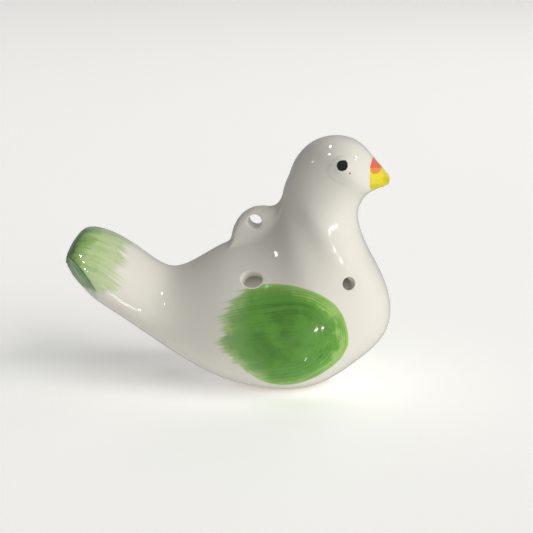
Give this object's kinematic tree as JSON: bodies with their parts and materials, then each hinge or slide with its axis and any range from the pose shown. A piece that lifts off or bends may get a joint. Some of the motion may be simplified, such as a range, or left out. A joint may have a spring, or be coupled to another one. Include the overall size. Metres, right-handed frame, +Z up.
{
  "type": "ocarina",
  "caption": "Glazed ceramic dove-shaped ocarina, blown at the tail, with finger holes in its sides, a window under the tail root and a pierced cord lug.",
  "frame": {"origin": "on the surface that the foot stands on, under the middle of the object's bounding box", "axes": "+X towards the beak, +Y towards the dove's left side, +Z up"},
  "size_m": [0.1003, 0.0464, 0.0778],
  "materials": {
    "white_glaze": "warm white gloss glaze over fired clay",
    "green_tail_glaze": "green brushed underglaze under a clear gloss glaze",
    "yellow_glaze": "yellow underglaze under a clear gloss glaze"
  },
  "bodies": {
    "root": {"right_shell": "white_glaze", "left_shell": "white_glaze", "tail_mouthpiece": "green_tail_glaze", "windway_floor": "green_tail_glaze", "labium": "white_glaze", "cord_lug": "white_glaze", "beak": "yellow_glaze", "right_eye": "white_glaze", "left_eye": "white_glaze"}
  },
  "joints": []
}
